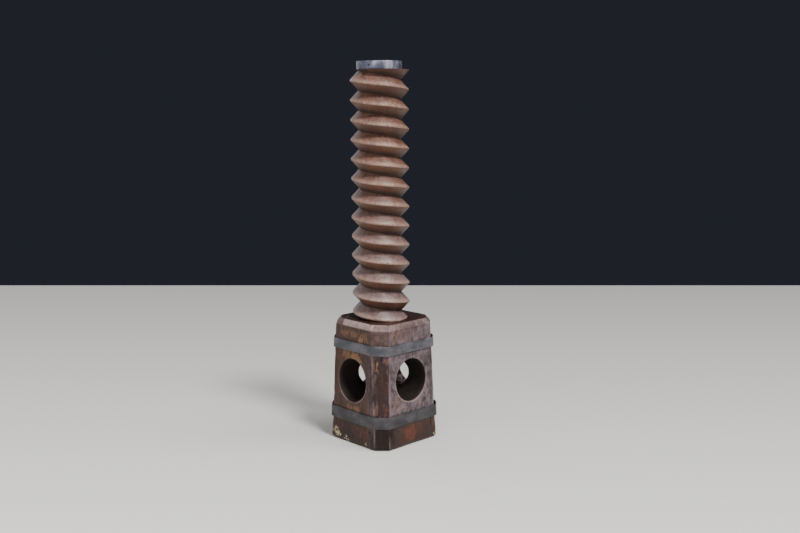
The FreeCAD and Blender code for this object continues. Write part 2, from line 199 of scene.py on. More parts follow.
def paint(piece, name, values):
    """Store one number per vertex for the materials to read."""
    layer = piece.data.attributes.new(name, "FLOAT", "POINT")
    layer.data.foreach_set("value", np.asarray(values, float))


def apply_modifiers(piece):
    """Replace a piece's mesh with its mesh after modifiers."""
    graph = bpy.context.evaluated_depsgraph_get()
    made = bpy.data.meshes.new_from_object(piece.evaluated_get(graph))
    piece.modifiers.clear()
    piece.data = made


def finish_piece(piece, material, slot, *nodes):
    piece.data.materials.clear()
    piece.data.materials.append(material)
    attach(piece, "root")
    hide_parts(*nodes)


# ---------------------------------------------------------------- material helpers
class Shader:
    """A node tree built by short calls; every call returns the socket that it makes."""

    def __init__(self, name):
        self.material = bpy.data.materials.new(name)
        self.material.use_nodes = True
        self.nodes = self.material.node_tree.nodes
        self.links = self.material.node_tree.links
        self.surface = self.nodes["Principled BSDF"]
        self.place = self.nodes.new("ShaderNodeTexCoord").outputs["Object"]

    def plug(self, value, socket):
        if isinstance(value, bpy.types.NodeSocket):
            self.links.new(value, socket)
        else:
            socket.default_value = value

    def noise(self, scale, detail=4.0, rough=0.55, distort=0.0):
        """Noise with its own number of cells to the metre along x, y and z."""
        stretch = self.nodes.new("ShaderNodeMapping")
        stretch.inputs["Scale"].default_value = scale
        self.links.new(self.place, stretch.inputs["Vector"])
        node = self.nodes.new("ShaderNodeTexNoise")
        self.links.new(stretch.outputs["Vector"], node.inputs["Vector"])
        node.inputs["Scale"].default_value = 1.0
        node.inputs["Detail"].default_value = detail
        node.inputs["Roughness"].default_value = rough
        node.inputs["Distortion"].default_value = distort
        return node.outputs["Fac"]

    def fade(self, value, low, high, bottom=0.0, top=1.0):
        """Map low..high to bottom..top, held at both ends."""
        node = self.nodes.new("ShaderNodeMapRange")
        node.interpolation_type = "SMOOTHSTEP"
        self.plug(value, node.inputs["Value"])
        for socket, number in zip(("From Min", "From Max", "To Min", "To Max"),
                                  (low, high, bottom, top)):
            node.inputs[socket].default_value = number
        return node.outputs["Result"]

    def math(self, operation, first, second=0.0):
        node = self.nodes.new("ShaderNodeMath")
        node.operation = operation
        self.plug(first, node.inputs[0])
        self.plug(second, node.inputs[1])
        return node.outputs["Value"]

    def times(self, first, second):
        return self.math("MULTIPLY", first, second)

    def mix(self, amount, first, second, blend="MIX"):
        node = self.nodes.new("ShaderNodeMix")
        node.data_type = "RGBA"
        node.blend_type = blend
        self.plug(amount, node.inputs[0])
        self.plug(first, node.inputs[6])
        self.plug(second, node.inputs[7])
        return node.outputs[2]

    def stain(self, base, pattern, low, high, strength, colour):
        """Lay a colour over the base where a pattern is high."""
        return self.mix(self.fade(pattern, low, high, 0.0, strength), base, colour)

    def attribute(self, name):
        node = self.nodes.new("ShaderNodeAttribute")
        node.attribute_name = name
        return node.outputs["Fac"]

    def axis(self, name):
        node = self.nodes.new("ShaderNodeSeparateXYZ")
        self.links.new(self.place, node.inputs["Vector"])
        return node.outputs[name]

    def bump(self, height, strength, distance, below=None):
        node = self.nodes.new("ShaderNodeBump")
        node.inputs["Strength"].default_value = strength
        node.inputs["Distance"].default_value = distance
        self.links.new(height, node.inputs["Height"])
        if below is not None:
            self.links.new(below, node.inputs["Normal"])
        return node.outputs["Normal"]

    def finish(self, colour, roughness, normal=None, metallic=0.0, sheen=0.5):
        self.plug(colour, self.surface.inputs["Base Color"])
        self.plug(roughness, self.surface.inputs["Roughness"])
        if normal is not None:
            self.plug(normal, self.surface.inputs["Normal"])
        self.plug(metallic, self.surface.inputs["Metallic"])
        self.plug(sheen, self.surface.inputs["Specular IOR Level"])
        return self.material


def tone(red, green, blue):
    """A colour from 0-255 display values, in linear light."""
    def linear(value):
        value = value / 255
        return value / 12.92 if value <= 0.04045 else ((value + 0.055) / 1.055) ** 2.4
    return (linear(red), linear(green), linear(blue), 1.0)


def rings(shader, spacing):
    """Growth rings about the timber's length, wavering along it."""
    waver = shader.noise((9, 9, 2.2), 2.0)
    x, y = shader.axis("X"), shader.axis("Y")
    across = shader.math("SQRT", shader.math("ADD", shader.times(x, x),
                                             shader.times(y, y)))
    moved = shader.math("ADD", across, shader.times(waver, 0.03))
    turns = shader.times(moved, 2 * math.pi / spacing)
    return shader.math("ADD", shader.times(shader.math("SINE", turns), 0.5), 0.5)


# the wood's base colours are multiplied by these
HEAD_TINT = (0.78, 0.66, 0.62, 1.0)
SPINDLE_TINT = (0.74, 0.66, 0.60, 1.0)


def spindle_wood():
    """Handled hardwood: pale worn crests and dark red-brown speckle; lower flanks and roots
    darkened as painted shade, and the lower turns' upper flanks made lilac-grey as a painted
    reflection.
    """
    shader = Shader("spindle_wood")
    grain = shader.noise((150, 150, 10), 6.0, 0.62)
    broad = shader.noise((18, 18, 7), 4.0)
    stains = shader.noise((42, 42, 30), 7.0, 0.7, 0.5)
    pores = shader.noise((620, 620, 110), 3.0)
    fleck = shader.noise((260, 260, 60), 4.0, 0.7)
    year = rings(shader, 5.5 * MM)
    upper, root = shader.attribute("upper"), shader.attribute("root")

    base = shader.mix(shader.fade(grain, 0.36, 0.66), tone(112, 82, 72), tone(150, 116, 104))
    base = shader.stain(base, broad, 0.35, 0.7, 0.5, tone(158, 120, 102))
    base = shader.mix(shader.times(year, 0.15), base, tone(104, 72, 62))
    # painted shade: the downward-facing lower flanks get a darker, more saturated copy of the
    # wood's colour
    lower_flank_shade = shader.mix(shader.fade(broad, 0.35, 0.65), tone(90, 56, 40), tone(118, 82, 57))
    lower_flank_shade = shader.stain(lower_flank_shade, grain, 0.4, 0.7, 0.5, tone(74, 48, 38))
    base = shader.mix(shader.fade(upper, 0.35, 0.65, 0.92, 0.0), base, lower_flank_shade)
    # painted reflection: the upper flanks of the lower turns are made lilac-grey
    lilac = shader.fade(shader.axis("Z"), 0.36, 0.85, 0.85, 0.0)
    base = shader.mix(shader.times(lilac, upper), base, tone(140, 128, 134))
    base = shader.stain(base, stains, 0.5, 0.62, 0.6, tone(92, 58, 52))
    base = shader.stain(base, fleck, 0.58, 0.7, 0.6, tone(74, 46, 40))
    base = shader.stain(base, pores, 0.6, 0.7, 0.6, tone(58, 36, 32))
    # painted shade: the thread's roots are darkened, varied by the stain pattern
    grime_and_shade = shader.times(root, shader.fade(stains, 0.3, 0.6, 0.65, 1.0))
    base = shader.mix(grime_and_shade, base, tone(44, 26, 21))
    speck = shader.noise((170, 170, 90), 7.0, 0.78)
    base = shader.stain(base, speck, 0.5, 0.6, 0.6, tone(84, 54, 48))
    base = shader.mix(1.0, base, SPINDLE_TINT, "MULTIPLY")
    worn = shader.times(shader.attribute("crest"), shader.fade(grain, 0.3, 0.7, 0.3, 0.75))
    base = shader.mix(worn, base, tone(170, 139, 124))
    end = shader.mix(shader.times(year, stains), tone(92, 70, 58), tone(140, 112, 94))
    end = shader.stain(end, stains, 0.45, 0.65, 0.6, tone(76, 58, 50))
    base = shader.mix(shader.attribute("end"), base, end)
    split = shader.times(shader.attribute("shake"), 0.75)
    base = shader.mix(split, base, tone(34, 22, 18))

    rough = shader.fade(grain, 0.25, 0.75, 0.33, 0.5)
    rough = shader.math("ADD", rough, shader.times(root, 0.2))
    normal = shader.bump(pores, 0.2, 0.4 * MM)
    normal = shader.bump(grain, 0.3, 0.7 * MM, normal)
    return shader.finish(base, rough, normal)


def head_wood():
    """Much darker handled wood: red and ochre stains, bare chips and cracks; a grey-lilac painted
    sheen, painted shade at the foot and in the bar holes, and painted highlights on the bevels and
    hole rims.
    """
    shader = Shader("head_wood")
    grain = shader.noise((110, 110, 20), 7.0, 0.68)
    fibre = shader.noise((520, 520, 60), 3.0)
    patches = shader.noise((28, 28, 22), 7.0, 0.68, 0.8)
    grime_and_shade = shader.noise((60, 60, 60), 8.0, 0.76, 0.5)
    scuffs = shader.noise((240, 240, 300), 5.0, 0.7)
    broad = shader.noise((13, 13, 17), 5.0, 0.6, 0.6)
    year = rings(shader, 6 * MM)

    base = shader.mix(shader.fade(grain, 0.3, 0.7), tone(58, 44, 40), tone(90, 70, 63))
    base = shader.stain(base, patches, 0.5, 0.62, 0.75, tone(104, 64, 46))
    base = shader.mix(shader.times(year, 0.1), base, tone(62, 42, 36))
    base = shader.mix(1.0, base, HEAD_TINT, "MULTIPLY")
    # painted reflection: a grey-lilac sheen laid over the wood, mostly on the +X side
    film = shader.mix(shader.fade(patches, 0.4, 0.58), tone(76, 64, 66), tone(112, 100, 106))
    film = shader.stain(film, broad, 0.5, 0.62, 0.6, tone(98, 70, 62))
    film = shader.stain(film, grain, 0.5, 0.68, 0.5, tone(128, 112, 112))
    sheen_cover = shader.times(shader.attribute("film"), shader.fade(grime_and_shade, 0.4, 0.62, 1.0, 0.6))
    base = shader.mix(sheen_cover, base, film)
    base = shader.stain(base, grime_and_shade, 0.5, 0.64, 0.5, tone(36, 26, 25))
    # painted shade: darker towards the foot
    base = shader.mix(shader.times(shader.attribute("soil"), 0.55), base, tone(38, 25, 21))
    red = shader.times(shader.attribute("red"), shader.fade(grain, 0.3, 0.62, 0.3, 1.0))
    red = shader.times(red, shader.fade(grime_and_shade, 0.42, 0.6, 1.0, 0.4))
    base = shader.mix(red, base, tone(98, 50, 34))
    dark = shader.times(shader.attribute("dark"), shader.fade(grain, 0.45, 0.75, 1.0, 0.65))
    base = shader.mix(dark, base, tone(28, 14, 11))
    ochre = shader.times(shader.attribute("ochre"), shader.fade(grime_and_shade, 0.42, 0.58, 1.0, 0.25))
    base = shader.mix(ochre, base, tone(142, 104, 72))
    # pale arrises are wear; the bevels, the lower hole rims and one patch in the +Y hole are
    # painted highlights and painted light
    rub = shader.times(shader.attribute("rub"), shader.fade(grime_and_shade, 0.35, 0.65, 1.0, 0.55))
    base = shader.mix(rub, base, tone(172, 150, 147))
    bare = shader.times(shader.attribute("bare"), shader.fade(scuffs, 0.48, 0.54))
    base = shader.mix(bare, base, tone(236, 214, 172))
    base = shader.stain(base, scuffs, 0.62, 0.72, 0.4, tone(142, 116, 104))
    # painted shade: the insides of the bar holes darkened almost to black
    base = shader.mix(shader.times(shader.attribute("bore"), 0.93), base, tone(20, 15, 13))
    base = shader.mix(shader.attribute("crack"), base, tone(20, 14, 12))
    base = shader.stain(base, fibre, 0.6, 0.72, 0.5, tone(34, 23, 21))

    rough = shader.fade(grain, 0.25, 0.75, 0.30, 0.5)
    rough = shader.math("ADD", rough, shader.times(shader.attribute("bore"), 0.25))
    normal = shader.bump(fibre, 0.25, 0.5 * MM)
    normal = shader.bump(grain, 0.35, 0.8 * MM, normal)
    normal = shader.bump(grime_and_shade, 0.3, 1.2 * MM, normal)
    return shader.finish(base, rough, normal, sheen=0.28)


def forged_iron(name, dark, light):
    """Strap iron with a dull grey skin, scale pits and rubbed places."""
    shader = Shader(name)
    cloud = shader.noise((20, 20, 34), 6.0, 0.6)
    pits = shader.noise((420, 420, 420), 3.0)
    dents = shader.noise((48, 48, 60), 2.0)
    rust = shader.noise((70, 70, 90), 6.0, 0.7)
    base = shader.mix(shader.fade(cloud, 0.35, 0.68), dark, light)
    base = shader.stain(base, rust, 0.6, 0.76, 0.5, tone(84, 64, 54))
    base = shader.stain(base, pits, 0.6, 0.74, 0.6, tone(38, 37, 39))
    rough = shader.fade(cloud, 0.3, 0.75, 0.36, 0.56)
    normal = shader.bump(pits, 0.2, 0.3 * MM)
    normal = shader.bump(dents, 0.35, 1.5 * MM, normal)
    return shader.finish(base, rough, normal, 0.35)


def zinc_sheet():
    """Old zinc: dull blue-grey with white bloom and dark spots."""
    shader = Shader("zinc_sheet")
    bloom = shader.noise((24, 24, 16), 7.0, 0.62, 0.4)
    spots = shader.noise((260, 260, 260), 4.0)
    base = shader.mix(shader.fade(bloom, 0.42, 0.56), tone(100, 102, 122), tone(176, 178, 190))
    base = shader.stain(base, spots, 0.58, 0.7, 0.6, tone(70, 72, 80))
    base = shader.stain(base, bloom, 0.56, 0.66, 0.85, tone(222, 224, 234))
    rough = shader.fade(bloom, 0.3, 0.7, 0.30, 0.52)
    normal = shader.bump(spots, 0.2, 0.3 * MM)
    normal = shader.bump(bloom, 0.4, 0.8 * MM, normal)
    return shader.finish(base, rough, normal, 0.35)


# ---------------------------------------------------------------- spindle
COLUMNS = 288
# rows of vertices across one turn of the thread, as distances from its crest
TURN_ROWS = np.array([-27.25, -26, -24, -21, -18, -15, -12, -9.5, -7.5, -5.5, -4, -3, -2.2, -1.5,
                      -0.6, 0.6, 1.5, 2.2, 3, 4, 5.5, 7.5, 9.5, 12, 15, 18, 21, 24, 26]) * MM
CHIPS = 110
SHAKES = 7
ROOT_ROUND = 0.8 * MM


def crest_wear(along, seed):
    """How far the crest is worn back at a place along the helix, in radians of turn."""
    wear = 0.5 * MM * (1 + line_noise(along, 0.9, seed)) / 2
    wear += 0.5 * MM * np.clip(line_noise(along, 0.12, seed + 1), 0, 1)
    draw = random.Random(seed)
    for _ in range(CHIPS):
        middle = draw.uniform(0, along.max())
        width = draw.uniform(0.015, 0.07)
        depth = draw.uniform(0.4, 2.6) * MM
        wear += depth * np.exp(-((along - middle) / width) ** 2)
    return wear


def carved_radius(angle, from_crest, turn):
    """The thread's radius at a place beside its crest, with worn crests and eased roots."""
    slope = THREAD_DEPTH / (PITCH / 2 - CREST_FLAT / 2)
    above_root = THREAD_DEPTH - np.maximum(np.abs(from_crest) - CREST_FLAT / 2, 0) * slope
    eased = ROOT_ROUND / 2 + above_root ** 2 / (2 * ROOT_ROUND)
    above_root = np.where(above_root < ROOT_ROUND, eased, above_root)
    along = turn * 2 * math.pi + 40 - angle
    worn_crest = CREST_RADIUS - crest_wear(along, 11)
    return np.minimum(CREST_RADIUS - THREAD_DEPTH + above_root, worn_crest)


def shake_field(angle, height):
    """Drying shakes that run down the grain across several turns, 1 in a crack and 0 outside."""
    draw = random.Random(23)
    field = np.zeros(len(angle))
    for _ in range(SHAKES):
        middle = draw.uniform(0, 2 * math.pi)
        low = draw.uniform(HEAD_HEIGHT, SHOULDER - 0.2)
        high = low + draw.uniform(0.06, 0.16)
        width = draw.uniform(0.006, 0.011)
        wander = 0.025 * line_noise(height, 0.05, draw.randrange(999))
        off = (angle - middle - wander + math.pi) % (2 * math.pi) - math.pi
        ends = ramp(height, low, low + 0.04) * (1 - ramp(height, high - 0.04, high))
        field = np.maximum(field, ends * np.exp(-(off / width) ** 2))
    return field


def spindle_grid():
    """Angle, height, distance from the crest and turn number over the whole thread."""
    angle = np.linspace(0, 2 * math.pi, COLUMNS + 1)
    lowest = HEAD_HEIGHT - BURIED
    first = math.floor((lowest - CREST_AT_X) / PITCH) - 1
    last = math.ceil((SHOULDER - CREST_AT_X) / PITCH) + 2
    turns = np.arange(first, last)
    offset = np.tile(TURN_ROWS, len(turns))
    turn = np.repeat(turns, len(TURN_ROWS))
    grid_angle = np.tile(angle, len(offset))
    offset, turn = np.repeat(offset, len(angle)), np.repeat(turn, len(angle))
    height = CREST_AT_X + (turn - grid_angle / (2 * math.pi)) * PITCH + offset
    return grid_angle, height, offset, turn, len(turns) * len(TURN_ROWS)


def flank_marks(points, angle, offset, turn):
    """Shallow tool cuts across the flanks and the timber's slight unevenness."""
    along = (turn * 2 * math.pi - angle) * CREST_RADIUS
    place = np.stack([along, offset, np.zeros_like(along)], axis=1)
    cuts = 0.30 * MM * lattice_noise(place, (9 * MM, 60 * MM, 1), 3)
    cuts += 0.14 * MM * lattice_noise(place, (3 * MM, 9 * MM, 1), 4)
    return cuts + 0.5 * MM * lattice_noise(points, 80 * MM, 5)


def build_thread():
    """The threaded length from inside the head to the shoulder."""
    angle, height, offset, turn, rows = spindle_grid()
    radius = carved_radius(angle, offset, turn)
    points = np.stack([radius * np.cos(angle), radius * np.sin(angle), height], axis=1)
    shake = shake_field(angle, height)
    seam = np.minimum(angle, 2 * math.pi - angle)
    inside = ramp(CREST_RADIUS - radius, 0, 2 * MM)
    marks = flank_marks(points, angle, offset, turn) * ramp(seam, 0.02, 0.25)
    radius = radius + marks * inside - np.abs(marks) * (1 - inside) * 0.5 - 1.6 * MM * shake
    points[:, 0] = radius * np.cos(angle)
    points[:, 1] = radius * np.sin(angle)
    clipped = np.clip(height, HEAD_HEIGHT - BURIED, SHOULDER)
    points[:, 2] = clipped
    thread = mesh_object("spindle", points, grid_faces(rows, COLUMNS + 1, False))
    upper = ramp(offset, -2.2 * MM, -0.6 * MM)
    paint(thread, "crest", upper * (1 - ramp(offset, 1.5 * MM, 13 * MM)))
    paint(thread, "upper", upper)
    # painted shade: the lower flank darkens towards the root below it, and the upper flank a little
    # near its root
    shaded = ramp(-offset, 6 * MM, 26 * MM) + 0.25 * ramp(offset, 23 * MM, 27 * MM)
    paint(thread, "root", shaded)
    paint(thread, "shake", shake)
    paint(thread, "end", np.zeros(len(points)))
    return thread


def end_grain_depth(points):
    """Saw marks, drying cracks and a centre mark in the end of the timber, and where it cracks."""
    reach = np.hypot(points[:, 0], points[:, 1])
    angle = np.arctan2(points[:, 1], points[:, 0])
    depth = 0.3 * MM * (1 + lattice_noise(points, (30 * MM, 3 * MM, 1), 21))
    crack = np.zeros(len(points))
    draw = random.Random(5)
    for _ in range(9):
        bearing = draw.uniform(-math.pi, math.pi)
        start, stop = draw.uniform(0.02, 0.5), draw.uniform(0.6, 1.05)
        wander = 0.08 * line_noise(reach, 12 * MM, draw.randrange(999))
        off = np.abs((angle - bearing - wander + math.pi) % (2 * math.pi) - math.pi) * reach
        span = ramp(reach, start * TENON_RADIUS, (start + 0.1) * TENON_RADIUS)
        span *= 1 - ramp(reach, (stop - 0.1) * TENON_RADIUS, stop * TENON_RADIUS)
        crack = np.maximum(crack, span * np.exp(-(off / (0.9 * MM)) ** 2))
    return depth + 2.5 * MM * crack + 4 * MM * np.exp(-(reach / (5 * MM)) ** 2), crack


def build_end():
    """The shoulder, the tenon inside the ferrule and the end grain on top."""
    angle = np.linspace(0, 2 * math.pi, COLUMNS, endpoint=False)
    core, shoulder = 0.5 * CREST_RADIUS, SHOULDER - SHOULDER_GAP
    levels = [(core, SHOULDER - 30 * MM), (core, shoulder),
              (TENON_RADIUS, shoulder), (TENON_RADIUS, TIMBER_HIGH.z - 2 * MM),
              (TENON_RADIUS - 0.8 * MM, TIMBER_HIGH.z - 0.6 * MM)]
    levels += [(TENON_RADIUS * share, TIMBER_HIGH.z) for share in np.linspace(0.97, 0.02, 44)]
    points = np.concatenate([
        np.stack([radius * np.cos(angle), radius * np.sin(angle), np.full(COLUMNS, level)], axis=1)
        for radius, level in levels
    ])
    flat = points[:, 2] > TIMBER_HIGH.z - 0.3 * MM
    depth, crack = end_grain_depth(points[flat])
    points[flat, 2] -= depth
    end = mesh_object("spindle_end", points, tube_faces(len(levels), COLUMNS))
    shake = np.zeros(len(points))
    shake[flat] = crack
    # the shoulder and tenon take an even share of the roots' painted shade
    for name, values in (("crest", 0.0), ("upper", 0.4), ("root", 0.3), ("end", flat)):
        paint(end, name, np.zeros(len(points)) + values)
    paint(end, "shake", shake)
    tidy_mesh(end)
    return end


def close_thread(thread):
    """Level the thread's two ends, close them and add the flat shoulder."""
    build = bmesh.new()
    build.from_mesh(thread.data)
    bmesh.ops.remove_doubles(build, verts=build.verts, dist=0.03 * MM)
    bmesh.ops.dissolve_degenerate(build, edges=build.edges, dist=0.02 * MM)
    flat = [face for face in build.faces
            if max(vert.co.z for vert in face.verts) - min(vert.co.z for vert in face.verts) < 1e-7]
    bmesh.ops.delete(build, geom=flat, context="FACES")
    rims = [edge for edge in build.edges if edge.is_boundary]
    bmesh.ops.holes_fill(build, edges=rims, sides=0)
    bmesh.ops.recalc_face_normals(build, faces=build.faces)
    build.to_mesh(thread.data)
    build.free()
    thread.data.update()


def build_spindle():
    """The threaded spindle with its shoulder, tenon and end grain."""
    thread, end = build_thread(), build_end()
    close_thread(thread)
    wood = spindle_wood()
    finish_piece(thread, wood, "timber", "screw_timber")
    finish_piece(end, wood, "timber", "screw_timber")


# ---------------------------------------------------------------- head
VOXEL = 1.9 * MM
FRONT_LEAN_FOOT, FRONT_LEAN_TOP = 0.5 * MM, 12 * MM
SKIN_DEPTH = 9 * MM             # what lies this near a face is outer wood, not bore
MOUTH_DEPTH = 62 * MM           # the holes narrow this far in from each face
RIM_ROUND = 2.5 * MM
# mouths of the bar holes, worn wide by the bars: half width, half height, shift sideways, shift up
MOUTHS = {
    "-X": (57 * MM, 60 * MM, 1 * MM, -1 * MM), "+X": (59.5 * MM, 62.5 * MM, -1.6 * MM, -0.2 * MM),
    "-Y": (58 * MM, 64 * MM, -7.5 * MM, -4.5 * MM), "+Y": (57 * MM, 59 * MM, 1 * MM, 3 * MM),
}


def half_width(height):
    """Half the head's flat-to-flat width at a height."""
    return FOOT_HALF - (FOOT_HALF - TOP_HALF) * height / HEAD_HEIGHT


def front_lean(height):
    """How much further the +X-Y corner is hewn off along -Y; it grows with the height."""
    return FRONT_LEAN_FOOT + (FRONT_LEAN_TOP - FRONT_LEAN_FOOT) * height / HEAD_HEIGHT


def octagon(half, leg, lean=0.0):
    """The corners of a square with cut corners, anticlockwise from the -Y end of +X."""
    flat = half - leg
    return [(half, -flat), (half, flat), (flat, half), (-flat, half),
            (-half, flat), (-half, -flat), (-flat, -half), (flat - lean, -half)]


def head_block():
    """The hewn block: eight uneven arrises from a worn foot to a bevelled top."""
    levels = [(0, FOOT_INSET), (FOOT_BEVEL * 0.4, FOOT_INSET * 0.35), (FOOT_BEVEL, 0)]
    straight = np.linspace(FOOT_BEVEL, HEAD_HEIGHT - TOP_BEVEL, 22)[1:]
    levels += [(height, 0) for height in straight]
    levels += [(HEAD_HEIGHT - TOP_BEVEL * 0.45, TOP_INSET * 0.45), (HEAD_HEIGHT, TOP_INSET)]
    rows = []
    for height, inset in levels:
        half = half_width(height) - inset
        leg = CORNER_LEG - FOOT_LEG_LESS * (1 - float(ramp(height, 30 * MM, 62 * MM)))
        for corner, (x, y) in enumerate(octagon(half, leg, front_lean(height))):
            sway = line_noise([height + corner], 0.11, 30 + corner)[0]
            slip = 1.2 * MM * sway
            flat_on_x = corner in (0, 1, 4, 5)
            along = (0, slip) if flat_on_x else (slip, 0)
            rows.append((x + along[0], y + along[1], height))
    faces = grid_faces(len(levels), 8)
    faces.append(tuple(range(7, -1, -1)))
    last = (len(levels) - 1) * 8
    faces.append(tuple(last + corner for corner in range(8)))
    block = mesh_object("head", rows, faces)
    tidy_mesh(block)
    return block


def mouth_section(inside, mouth):
    """The hole's half width, half height and shifts, a distance inside its face."""
    wide, tall, sideways, up = mouth
    taper = 1 - min(max(inside, 0) / MOUTH_DEPTH, 1)
    rim = RIM_ROUND * (1 - min(max(inside, 0) / RIM_ROUND, 1)) ** 2
    return (BAR_RADIUS + (wide - RIM_ROUND - BAR_RADIUS) * taper + rim,
            BAR_RADIUS + (tall - RIM_ROUND - BAR_RADIUS) * taper + rim,
            sideways * taper, up * taper)


def bar_cutter(name, along_x, near_mouth, far_mouth):
    """A bar hole with worn bell mouths, longer than the head is wide; near is its -X or -Y end."""
    face = half_width(BAR_HEIGHT)
    insides = [-14 * MM, -0.3 * MM] + [RIM_ROUND * share for share in (0.1, 0.3, 0.55, 0.8, 1)]
    insides += [RIM_ROUND + (MOUTH_DEPTH - RIM_ROUND) * share for share in (0.2, 0.5, 1)]
    stations = [(-face + inside, inside, near_mouth) for inside in insides]
    stations += [(face * share, MOUTH_DEPTH, near_mouth) for share in (-0.3, 0, 0.3)]
    stations += [(face - inside, inside, far_mouth) for inside in reversed(insides)]
    points = []
    count = 112
    for place, inside, mouth in stations:
        wide, tall, sideways, up = mouth_section(inside, mouth)
        for step in range(count):
            angle = 2 * math.pi * step / count
            across = sideways + wide * math.cos(angle)
            height = BAR_HEIGHT + up + tall * math.sin(angle)
            points.append((place, across, height) if along_x else (across, place, height))
    cutter = mesh_object(name, points, tube_faces(len(stations), count))
    tidy_mesh(cutter)
    return cutter


def cut_and_remesh(block):
    """Cut both bar holes, then rebuild the block as an even mesh."""
    for name, along_x, near, far in (("cut_x", True, "-X", "+X"), ("cut_y", False, "-Y", "+Y")):
        cutter = bar_cutter(name, along_x, MOUTHS[near], MOUTHS[far])
        cut = block.modifiers.new(name, "BOOLEAN")
        cut.operation = "DIFFERENCE"
        cut.solver = "EXACT"
        cut.object = cutter
        apply_modifiers(block)
        bpy.data.objects.remove(cutter)
    even = block.modifiers.new("even", "REMESH")
    even.mode = "VOXEL"
    even.voxel_size = VOXEL
    soften = block.modifiers.new("soften", "SMOOTH")
    soften.factor = 0.5
    soften.iterations = 2
    apply_modifiers(block)


def crack_field(points, normals):
    """Drying cracks that wander down each side of the head, 1 in a crack and 0 outside."""
    draw = random.Random(17)
    field = np.zeros(len(points))
    for axis, sign in ((0, 1), (0, -1), (1, 1), (1, -1)):
        across = points[:, 1 - axis]
        on_side = ramp(sign * normals[:, axis], 0.35, 0.7)
        for _ in range(5):
            middle = draw.uniform(-0.1, 0.1)
            low = draw.uniform(-0.02, 0.26)
            high = low + draw.uniform(0.05, 0.16)
            width = draw.uniform(0.7, 1.1) * MM
            wander = 3 * MM * line_noise(points[:, 2], 0.04, draw.randrange(999))
            wander += 0.8 * MM * line_noise(points[:, 2], 0.009, draw.randrange(999))
            off = across - middle - wander
            ends = ramp(points[:, 2], low, low + 0.03) * (1 - ramp(points[:, 2], high - 0.03, high))
            field = np.maximum(field, on_side * ends * np.exp(-(off / width) ** 2))
    return field


def mouth_distance(points):
    """How far each point near a side lies outside the rim of that side's hole."""
    distance = np.full(len(points), 1.0)
    for side, (axis, sign) in {"-X": (0, -1), "+X": (0, 1), "-Y": (1, -1), "+Y": (1, 1)}.items():
        wide, tall, sideways, up = MOUTHS[side]
        across = (points[:, 1 - axis] - sideways) / wide
        above = (points[:, 2] - BAR_HEIGHT - up) / tall
        beyond = (np.hypot(across, above) - 1) * wide
        near_side = sign * points[:, axis] > half_width(points[:, 2]) - SKIN_DEPTH
        distance = np.where(near_side, np.minimum(beyond, distance), distance)
    return distance


def blob(points, middle, size, seed, ragged=0.5):
    """1 in a ragged patch and 0 outside; middle and size, its half extent, are in millimetres."""
    off = (points - np.array(middle) * MM) / (np.array(size) * MM)
    reach = np.sqrt((off ** 2).sum(axis=1))
    edge = ragged * lattice_noise(points, (7 * MM, 7 * MM, 16 * MM), seed)
    edge += 0.7 * ragged * lattice_noise(points, (2.6 * MM, 2.6 * MM, 7 * MM), seed + 100)
    return 1 - ramp(reach + edge, 0.7, 1.05)


def arris_distance(x, y, z):
    """How far each point is from the nearest of the head's eight upright arrises."""
    half = half_width(z)
    across, beside = np.maximum(np.abs(x), np.abs(y)), np.minimum(np.abs(x), np.abs(y))
    lean = front_lean(z) * ((x > 0) & (y < -np.abs(x)))
    return np.hypot(half - across, half - CORNER_LEG - lean - beside)


def chip_field(points):
    """Bruises and broken places along the arrises and the foot, as a depth."""
    draw = random.Random(29)
    depth = np.zeros(len(points))
    for _ in range(46):
        height = draw.choice((0, draw.uniform(0, HEAD_HEIGHT), draw.uniform(0, 0.12), HEAD_HEIGHT))
        corner = octagon(half_width(height), CORNER_LEG)[draw.randrange(8)]
        slide = draw.uniform(0, 1) if height in (0, HEAD_HEIGHT) else 0
        middle = np.array([corner[0] * (1 - slide * 0.8), corner[1], height])
        size = np.array([draw.uniform(4, 9), draw.uniform(4, 9), draw.uniform(4, 18)]) * MM
        reach = (((points - middle) / size) ** 2).sum(axis=1)
        depth = np.maximum(depth, draw.uniform(0.6, 2.6) * MM * np.exp(-reach))
    return depth


